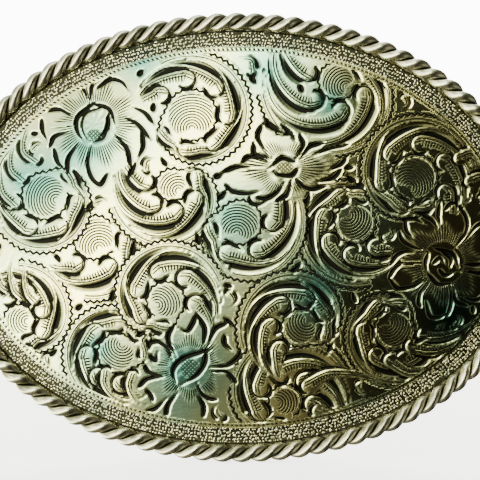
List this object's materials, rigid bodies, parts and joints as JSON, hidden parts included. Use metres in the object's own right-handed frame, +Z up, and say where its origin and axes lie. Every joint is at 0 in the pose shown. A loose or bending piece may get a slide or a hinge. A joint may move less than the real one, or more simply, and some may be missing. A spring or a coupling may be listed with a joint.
{
  "type": "belt buckle",
  "caption": "Oval domed plate buckle with a twisted rope edge and an engraved scroll and flower face, a swinging bail for the strap and a fixed hook on its back.",
  "frame": {"origin": "middle of the backing plate's rear surface, the deepest point of its dome, where the belt line crosses the plate's centre", "axes": "+X along the oval's long axis towards the bail, which is the wearer's left; +Y from the engraved front towards the wearer; +Z up as worn"},
  "size_m": [0.095, 0.0134, 0.07],
  "materials": {
    "engraved_silver": "antiqued silver, engraved, with black oxide in the cuts",
    "rope_silver": "antiqued silver wire, bright on the crests and black between the wires",
    "nickel_silver": "brushed nickel silver, dulled by handling",
    "solder": "dark oxidised silver solder",
    "bail_wire": "polished nickel silver wire with fine wear"
  },
  "bodies": {
    "buckle": {"backing_plate": "nickel_silver", "face_plate": "engraved_silver", "rope_strand_one": "rope_silver", "rope_strand_two": "rope_silver", "rope_solder": "solder", "hinge_foot": "nickel_silver", "hinge_tube": "nickel_silver", "hinge_braze": "solder", "hook_pad": "nickel_silver", "hook_post": "bail_wire", "hook_braze": "solder"},
    "bail": {"bail_loop": "bail_wire"}
  },
  "joints": [
    {"name": "bail_swing", "type": "hinge", "parent": "buckle", "child": "bail", "pos_m": [0.02064, 0.00444, 0], "axis": [0, 0, 1], "range_deg": [0, 180]}
  ]
}
